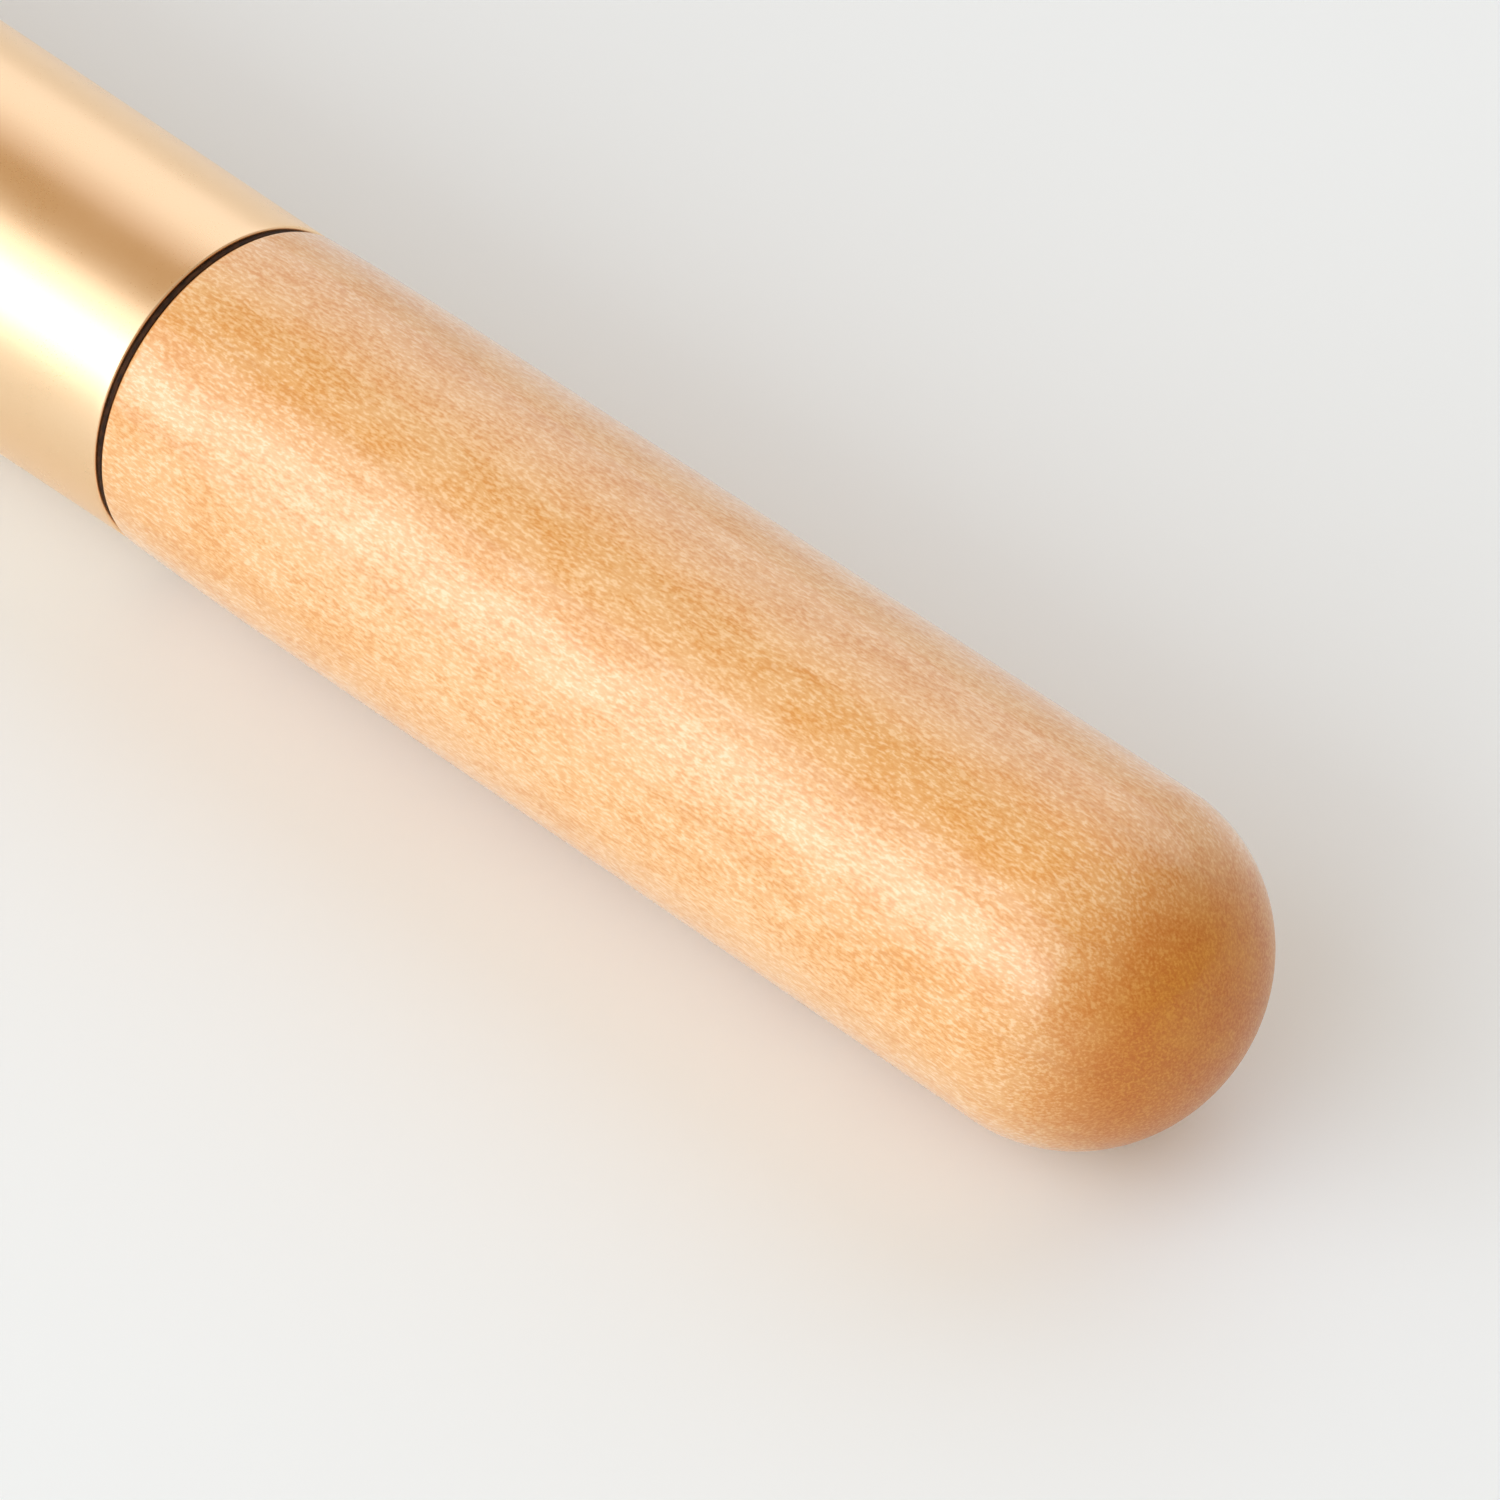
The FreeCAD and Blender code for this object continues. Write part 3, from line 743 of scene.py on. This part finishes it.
def softened_copy(name: str, node: str, edge: float) -> bpy.types.Object:
    """A copy of a sheet-metal node with welded faces and broken edges.

    Args:
        name: the new object's name.
        node: the CAD node that it is taken from.
        edge: width of the broken edges, in metres.

    Returns:
        The new object.
    """
    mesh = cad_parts[node].data.copy()
    mesh.materials.clear()
    shape = bmesh.new()
    shape.from_mesh(mesh)
    bmesh.ops.remove_doubles(shape, verts=shape.verts, dist=edge / 40)
    bmesh.ops.dissolve_degenerate(shape, edges=shape.edges, dist=edge / 40)
    for face in shape.faces:
        face.smooth = True
    shape.to_mesh(mesh)
    shape.free()
    obj = bpy.data.objects.new(name, mesh)
    bpy.context.scene.collection.objects.link(obj)
    bevel = obj.modifiers.new("broken_edges", "BEVEL")
    bevel.width = edge
    bevel.segments = 2
    bevel.limit_method = "ANGLE"
    bevel.angle_limit = math.radians(40)
    bevel.use_clamp_overlap = True
    bevel.harden_normals = True
    return obj


class Body(Enum):
    """The moving bodies of the frame."""

    HOLDER = "holder"
    RING = "tail_ring"
    TAIL = "tail"
    NIB = "nib"


def dress(obj: bpy.types.Object, material: bpy.types.Material, body: Body,
          node: str) -> None:
    """Dress a piece and put it in its place.

    Args:
        obj: the piece.
        material: its finish.
        body: the body that it rides on.
        node: the CAD node that it stands for.
    """
    obj.data.materials.clear()
    obj.data.materials.append(material)
    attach(obj, body.value)
    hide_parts(node)
    log.info("%s rides on %s and stands for %s", obj.name, body.value, node)


def span(node: str) -> Triple:
    """The low x, high x and largest radius of a CAD node."""
    low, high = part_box(node)
    return low.x, high.x, (high.y - low.y) / 2


# -------------------------------------------------------------- sub-assemblies


@dataclass
class ThreadedInsert:
    """A brass insert with glue grooves."""

    turning: Turning
    bore: float = 2.05 * MM
    radius: float = 3.15 * MM
    length: float = 10.0 * MM
    grooves: int = 3
    groove_width: float = 1.0 * MM
    groove_depth: float = 0.25 * MM
    edge: float = 0.08 * MM

    def build(self, name: str, mouth: float, direction: float) -> bpy.types.Object:
        """Turn one insert.

        Args:
            name: the new object's name.
            mouth: x of its outer end.
            direction: +1 or -1, the way that it reaches.

        Returns:
            The new object.
        """
        pitch = self.length / self.grooves
        root = self.radius - self.groove_depth
        outline = Outline(mouth, self.bore, self.edge)
        outline.line(mouth, self.radius, self.edge)
        for groove in range(self.grooves):
            start = mouth + direction * ((groove + 0.5) * pitch - self.groove_width / 2)
            end = start + direction * self.groove_width
            outline.line(start, self.radius, self.edge)
            outline.line(start, root, self.edge)
            outline.line(end, root, self.edge)
            outline.line(end, self.radius, self.edge)
        outline.line(mouth + direction * self.length, self.radius, self.edge)
        outline.line(mouth + direction * self.length, self.bore, self.edge)
        return self.turning.piece(name, outline)


@dataclass
class Washer:
    """A flat washer with soft outer edges, as thick as its CAD node."""

    turning: Turning
    hole: float
    edge: float = 0.05 * MM

    def build(self, name: str, node: str) -> bpy.types.Object:
        """Turn one washer.

        Args:
            name: the new object's name.
            node: the CAD node that it stands for.

        Returns:
            The new object.
        """
        low, high, radius = span(node)
        outline = Outline(high, self.hole)
        outline.line(high, radius, self.edge)
        outline.line(low, radius, self.edge)
        outline.line(low, self.hole)
        return self.turning.piece(name, outline)


@dataclass
class Tail:
    """Domed maple tail with its tenon, threaded insert and washer."""

    turning: Turning
    dome: float = 5.66 * MM
    ease: float = 0.1 * MM
    ease_length: float = 7.5 * MM
    edge: float = 0.3 * MM
    length: float = 43.4 * MM
    tenon: float = 5.37 * MM
    bore: float = 3.15 * MM
    bore_depth: float = 12.0 * MM
    washer_hole: float = 5.42 * MM
    finish: Maple = field(default_factory=lambda: Maple("maple_tail"))

    def build(self) -> None:
        """Build and dress every piece of the tail."""
        wood, brass, fibre = self.finish.build(), TURNED_BRASS.build(), Fibre().build()
        dress(self._handle(), wood, Body.TAIL, "tail_handle")
        mouth, _, _ = span("tail_insert")
        insert = ThreadedInsert(self.turning).build("tail_threaded_insert", mouth, 1.0)
        dress(insert, brass, Body.TAIL, "tail_insert")
        washer = Washer(self.turning, self.washer_hole).build("tail_seat_washer", "tail_washer")
        dress(washer, fibre, Body.RING, "tail_washer")

    def _handle(self) -> bpy.types.Object:
        """The wooden tail.

        Returns:
            The new object.
        """
        end, tip, radius = span("tail_handle")
        shoulder = tip - self.length
        neck = radius - self.ease
        ease_run = self.ease_length - self.edge
        bend = (ease_run ** 2 + self.ease ** 2) / (2 * self.ease)
        round_x = shoulder + self.edge
        eased_x = shoulder + self.ease_length
        dome_x = tip - self.dome
        outline = Outline(end + self.bore_depth, 0.0)
        outline.line(end + self.bore_depth, self.bore)
        outline.line(end, self.bore)
        outline.line(end, self.tenon, self.edge)
        outline.line(shoulder, self.tenon)
        outline.line(shoulder, neck - self.edge)
        outline.path(arc(math.pi, math.pi / 2, 10, lambda angle: (
            round_x + self.edge * math.cos(angle),
            neck - self.edge + self.edge * math.sin(angle))))
        outline.path(arc(math.asin(ease_run / bend), 0.0, 24, lambda angle: (
            eased_x - bend * math.sin(angle), radius - bend + bend * math.cos(angle))))
        outline.line(dome_x, radius)
        outline.path(arc(math.pi / 2, 0.0, 72, lambda angle: (
            dome_x + self.dome * math.cos(angle), max(0.0, radius * math.sin(angle)))))
        return self.turning.piece("domed_tail", outline, closed=False)


@dataclass
class Sleeve:
    """Flared satin gold tube, with the stud that runs through it."""

    turning: Turning
    rear_radius: float = 5.87 * MM
    wall: float = 0.4 * MM
    rim: float = 0.09 * MM
    pitch: float = 0.7 * MM
    thread_depth: float = 0.36 * MM
    thread_steps: int = 10              # stations along each turn
    thread_steep: float = 1.25          # over 1, the thread has flat crests and roots
    thread_land: float = 0.12           # width of the crests
    chamfer: float = 0.5 * MM
    stud_segments: int = 72

    def build(self) -> None:
        """Build and dress the tube and the stud."""
        dress(self._tube(), SATIN_GOLD.build(), Body.HOLDER, "sleeve")
        dress(self._stud(), ZINC.build(), Body.HOLDER, "tie_stud")

    def _tube(self) -> bpy.types.Object:
        """The tube.

        Returns:
            The new object.
        """
        front, rear, front_radius = span("sleeve")
        outline = Outline(rear, self.rear_radius - self.wall, self.rim)
        outline.line(rear, self.rear_radius, self.rim)
        outline.line(front, front_radius, self.rim)
        outline.line(front, front_radius - self.wall, self.rim)
        return self.turning.piece("gold_sleeve", outline)

    def _stud(self) -> bpy.types.Object:
        """The stud, with its thread cut as a helix.

        Returns:
            The new object.
        """
        low, high, radius = span("tie_stud")
        root = radius - self.chamfer
        outline = Outline(low, 0.0, step=self.pitch / self.thread_steps)
        outline.line(low, root)
        outline.line(low + self.chamfer, radius)
        outline.line(high - self.chamfer, radius)
        outline.line(high, root)
        outline.line(high, 0.0)

        def thread(x: float, here: float, angle: float) -> float:
            """Cut the thread.

            Args:
                x: place along the stud.
                here: the plain stud's radius there.
                angle: the way round it, in radians.

            Returns:
                The real radius.
            """
            phase = (x / self.pitch - angle / FULL_TURN) % 1.0
            fall = abs(phase - 0.5) * 2 * self.thread_steep - self.thread_land
            return min(here, radius - self.thread_depth * min(1.0, max(0.0, fall)))

        lathe = Turning(self.turning.axis_z, self.stud_segments)
        return lathe.piece("threaded_stud", outline, False, thread)


@dataclass
class Grip:
    """Maple grip with a ring of flats on its swell, its insert and its washer."""

    turning: Turning
    edge: float = 0.3 * MM
    length: float = 54.0 * MM
    rear_radius: float = 6.35 * MM
    swell_back: float = 6.5 * MM
    swell: float = 0.5 * MM
    front_radius: float = 4.92 * MM
    waist_at: float = 0.62
    waist_share: float = 0.47
    flats: int = 8
    flat_radius: float = 6.4 * MM
    flat_blend: float = 0.05 * MM
    segments: int = 256
    front_tenon: float = 4.17 * MM
    rear_tenon: tuple[float, float] = (5.731 * MM, 5.887 * MM)
    bore: float = 3.15 * MM
    bore_depth: float = 10.0 * MM
    washer_hole: float = 5.89 * MM
    finish: Maple = field(default_factory=lambda: Maple("maple_grip", (37.0, 11.0, 5.0)))

    def build(self) -> None:
        """Build and dress every piece of the grip."""
        wood, brass, fibre = self.finish.build(), TURNED_BRASS.build(), Fibre().build()
        dress(self._handle(), wood, Body.HOLDER, "grip_handle")
        _, mouth, _ = span("grip_insert")
        insert = ThreadedInsert(self.turning).build("grip_threaded_insert", mouth, -1.0)
        dress(insert, brass, Body.HOLDER, "grip_insert")
        washer = Washer(self.turning, self.washer_hole).build("grip_seat_washer", "grip_washer")
        dress(washer, fibre, Body.HOLDER, "grip_washer")

    def _handle(self) -> bpy.types.Object:
        """The wooden grip.

        Returns:
            The new object.
        """
        low, high, _ = span("grip_handle")
        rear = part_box("grip_washer")[0].x
        front = rear - self.length
        widest = self.rear_radius + self.swell
        waist = self.front_radius + (widest - self.front_radius) * self.waist_share
        outline = Outline(high - self.bore_depth, 0.0)
        outline.line(high - self.bore_depth, self.bore)
        outline.line(high, self.bore)
        outline.line(high, self.rear_tenon[0])
        outline.line(rear, self.rear_tenon[1])
        outline.line(rear, self.rear_radius - self.edge)
        outline.path(arc(0.0, math.pi / 2, 10, lambda angle: (
            rear - self.edge + self.edge * math.cos(angle),
            self.rear_radius - self.edge + self.edge * math.sin(angle))))
        outline.path(level_curve([
            (rear - self.edge, self.rear_radius),
            (rear - self.swell_back, widest),
            (rear - self.length * self.waist_at, waist),
            (front + self.edge, self.front_radius)], 48))
        outline.path(arc(math.pi / 2, math.pi, 10, lambda angle: (
            front + self.edge + self.edge * math.cos(angle),
            self.front_radius - self.edge + self.edge * math.sin(angle))))
        outline.line(front, self.front_tenon)
        outline.line(low, self.front_tenon, self.edge)
        outline.line(low, 0.0)
        lathe = Turning(self.turning.axis_z, self.segments)
        return lathe.piece("maple_grip", outline, False, self._flat)

    def _flat(self, x: float, radius: float, angle: float) -> float:
        """Cut the flats on the round swell, with softly sanded edges.

        Args:
            x: place along the pen; not used, as the flats are the same all along it.
            radius: the round grip's radius there.
            angle: the way round the pen, in radians.

        Returns:
            The real radius.
        """
        step = FULL_TURN / self.flats
        turn = (angle - math.pi / 2 + step / 2) % step - step / 2
        flat = self.flat_radius / math.cos(turn)
        overlap = max(0.0, self.flat_blend - abs(radius - flat)) / self.flat_blend
        return min(radius, flat) - overlap * overlap * self.flat_blend / 4


@dataclass
class NibSeat:
    """Gold ferrule with its quill socket, spring clip and nib."""

    turning: Turning
    bore: float = 4.2 * MM
    rear_radius: float = 4.72 * MM
    mouth_radius: float = 4.6 * MM
    taper: float = 0.12 * MM
    crimps: int = 2
    crimp_from_edge: float = 1.8 * MM
    crimp_spacing: float = 1.9 * MM
    crimp_width: float = 0.8 * MM
    crimp_depth: float = 0.16 * MM
    lip_width: float = 0.9 * MM
    lip_height: float = 0.14 * MM
    rim: float = 0.09 * MM
    socket_bore: float = 1.7 * MM
    socket_radius: float = 2.15 * MM
    socket_depth: float = 10.0 * MM
    flange: float = 1.5 * MM
    socket_edge: float = 0.15 * MM
    sheet_edge: float = 0.03 * MM

    def build(self) -> None:
        """Build and dress every piece of the nib's seat."""
        dress(self._ferrule(), FERRULE_GOLD.build(), Body.HOLDER, "nib_ferrule")
        dress(self._socket(), TURNED_BRASS.build(), Body.HOLDER, "quill_socket")
        clip = softened_copy("four_leaf_clip", "nib_clip", self.sheet_edge)
        dress(clip, SPRING_STRIP.build(), Body.HOLDER, "nib_clip")
        point, _, _ = span("nib")
        mouth, _, _ = span("nib_ferrule")
        nib = softened_copy("pointed_nib", "nib", self.sheet_edge)
        dress(nib, NibSteel("nib_steel", point, mouth).build(), Body.NIB, "nib")

    def _surface(self, x: float) -> float:
        """Outer radius of the plain ferrule at x."""
        mouth, rear, _ = span("nib_ferrule")
        return self.rear_radius - self.taper * (rear - x) / (rear - mouth)

    def _ferrule(self) -> bpy.types.Object:
        """The ferrule: crimped rings and a rolled lip.

        Returns:
            The new object.
        """
        mouth, rear, _ = span("nib_ferrule")
        lip_rear = mouth + self.lip_width
        proud = self.mouth_radius + self.lip_height
        outline = Outline(rear, self.bore, self.rim)
        outline.line(rear, self._surface(rear), self.rim)
        for crimp in range(self.crimps):
            middle = rear - self.crimp_from_edge - crimp * self.crimp_spacing
            start, end = middle + self.crimp_width / 2, middle - self.crimp_width / 2
            outline.line(start, self._surface(start), self.crimp_depth)
            outline.line(middle, self._surface(middle) - self.crimp_depth, self.crimp_depth)
            outline.line(end, self._surface(end), self.crimp_depth)
        outline.line(lip_rear + self.lip_height, self._surface(lip_rear), self.lip_height)
        outline.line(lip_rear, proud, self.lip_height / 2)
        outline.line(mouth, proud, self.lip_width / 3)
        outline.line(mouth, self.bore, self.rim)
        return self.turning.piece("nib_ferrule_tube", outline)

    def _socket(self) -> bpy.types.Object:
        """The quill socket: a flange and a slim tube.

        Returns:
            The new object.
        """
        mouth, rear, radius = span("quill_socket")
        outline = Outline(rear, 0.0)
        outline.line(rear, radius)
        outline.line(rear - self.flange, radius, self.socket_edge)
        outline.line(rear - self.flange, self.socket_radius)
        outline.line(mouth, self.socket_radius, self.socket_edge)
        outline.line(mouth, self.socket_bore, self.socket_edge / 2)
        outline.line(mouth + self.socket_depth, self.socket_bore)
        outline.line(mouth + self.socket_depth, 0.0)
        return self.turning.piece("quill_socket_tube", outline, closed=False)


# ---------------------------------------------------------------------- studio


@dataclass(frozen=True)
class Softbox:
    """A rectangular soft light that hangs beside the pen, a little towards its nib."""

    name: str
    bearing: float              # degrees round the pen: 0 behind it, 90 overhead, 180 in front
    spread: float               # how many of those degrees it fills
    breadth: float              # its size the other way, in metres
    glow: Colour                # brightness of its surface
    distance: float = 0.7
    lean: float = -0.22         # share of its direction that is along the pen

    def build(self, aim: Vector) -> None:
        """Hang the light.

        Args:
            aim: the place that it faces.
        """
        turn = math.radians(self.bearing)
        share = math.sqrt(1 - self.lean ** 2)
        towards = Vector((self.lean, share * math.cos(turn), share * math.sin(turn)))
        upright = Vector((0.0, -math.sin(turn), math.cos(turn)))
        lamp = bpy.data.lights.new(self.name, "AREA")
        lamp.shape = "RECTANGLE"
        lamp.size = self.breadth
        lamp.size_y = self.distance * share * math.radians(self.spread)
        brightest = max(self.glow)
        lamp.energy = math.pi * lamp.size * lamp.size_y * brightest
        lamp.color = tuple(part / brightest for part in self.glow)
        turned = Matrix((upright.cross(towards), upright, towards)).transposed().to_4x4()
        turned.translation = aim + towards * self.distance
        obj = bpy.data.objects.new(self.name, lamp)
        obj.matrix_world = turned
        bpy.context.scene.collection.objects.link(obj)


@dataclass
class Studio:
    """Pale paper floor, soft light and the camera."""

    axis_z: float
    seam_x: float
    bearing: float = 44.36              # degrees: 0 looks along +Y
    elevation: float = 42.85
    distance: float = 266.5 * MM
    lens: float = 204.9
    aim_past_seam: float = 23.6 * MM
    aim_drop: float = 0.64 * MM
    floor_size: float = 8.0
    walls: Colour = (0.85, 0.83, 0.79)
    ceiling: Colour = (0.54, 0.38, 0.21)
    ceiling_middle: Triple = (-0.51, 0.055, 0.857)
    ceiling_reach: Station = (0.86, 0.985)      # where it starts and is full
    far_side: Colour = (0.50, 0.42, 0.33)
    far_side_middle: Triple = (0.83, 0.05, 0.555)
    far_side_reach: Station = (0.4, 0.75)

    def build(self) -> None:
        """Build the floor, the lights and the camera."""
        aim = Vector((self.seam_x + self.aim_past_seam, 0.0, self.axis_z - self.aim_drop))
        self._floor()
        self._room()
        for light in self._lights():
            light.build(aim)
        self._camera(aim)

    @staticmethod
    def _lights() -> list[Softbox]:
        """List the soft lights.

        Returns:
            The softboxes, in order.
        """
        return [
            Softbox("front_softbox", bearing=152.0, spread=28.0, breadth=1.0,
                    glow=(2.0, 2.18, 2.3)),
            Softbox("front_bounce", bearing=152.0, spread=70.0, breadth=1.2,
                    glow=(0.70, 0.73, 0.84)),
            Softbox("back_softbox", bearing=48.0, spread=56.0, breadth=0.9,
                    glow=(0.32, 0.36, 0.48)),
        ]

    def _floor(self) -> None:
        """Lay the paper floor."""
        half = self.floor_size / 2
        sheet = [(-half, -half, 0.0), (half, -half, 0.0), (half, half, 0.0), (-half, half, 0.0)]
        mesh = bpy.data.meshes.new("paper_floor")
        mesh.from_pydata(sheet, [], [(0, 1, 2, 3)])
        floor = bpy.data.objects.new("paper_floor", mesh)
        mesh.materials.append(Paper().build())
        bpy.context.scene.collection.objects.link(floor)

    def _room(self) -> None:
        """Light the room evenly from pale walls, dimmer overhead and beyond the tail."""
        world = bpy.data.worlds.new("room")
        bench = Bench(world)
        facing = bench.add("ShaderNodeTexCoord", output="Generated")
        light = self.walls
        for middle, reach, colour in (
                (self.far_side_middle, self.far_side_reach, self.far_side),
                (self.ceiling_middle, self.ceiling_reach, self.ceiling)):
            nearness = bench.add("ShaderNodeVectorMath", {"operation": "DOT_PRODUCT"}, {
                0: facing, 1: middle}, "Value")
            light = bench.mix(bench.band(nearness, *reach), light, colour)
        glow = bench.add("ShaderNodeBackground", None, {"Color": light})
        bench.add("ShaderNodeOutputWorld", None, {"Surface": glow})
        bpy.context.scene.world = world

    def _camera(self, aim: Vector) -> None:
        """Set up the camera, level.

        Args:
            aim: the place that it looks at.
        """
        bearing, elevation = math.radians(self.bearing), math.radians(self.elevation)
        away = Vector((math.sin(bearing) * math.cos(elevation),
                       -math.cos(bearing) * math.cos(elevation), math.sin(elevation)))
        data = bpy.data.cameras.new("camera")
        data.lens = self.lens
        data.clip_start = 0.01
        camera = bpy.data.objects.new("camera", data)
        camera.location = aim + away * self.distance
        camera.rotation_euler = away.to_track_quat("Z", "Y").to_euler()
        bpy.context.scene.collection.objects.link(camera)
        bpy.context.scene.camera = camera
        bpy.context.scene.view_settings.view_transform = "Standard"


def main() -> None:
    """Build the pen and its studio."""
    logging.basicConfig(level=logging.INFO, format="%(name)s: %(message)s")
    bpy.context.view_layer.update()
    low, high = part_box("tail_handle")
    axis_z = (low.z + high.z) / 2
    seam_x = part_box("tail_washer")[1].x
    turning = Turning(axis_z)
    for part in (Tail(turning), Sleeve(turning), Grip(turning), NibSeat(turning)):
        part.build()
    Studio(axis_z, seam_x).build()


if __name__ == "__main__":
    main()
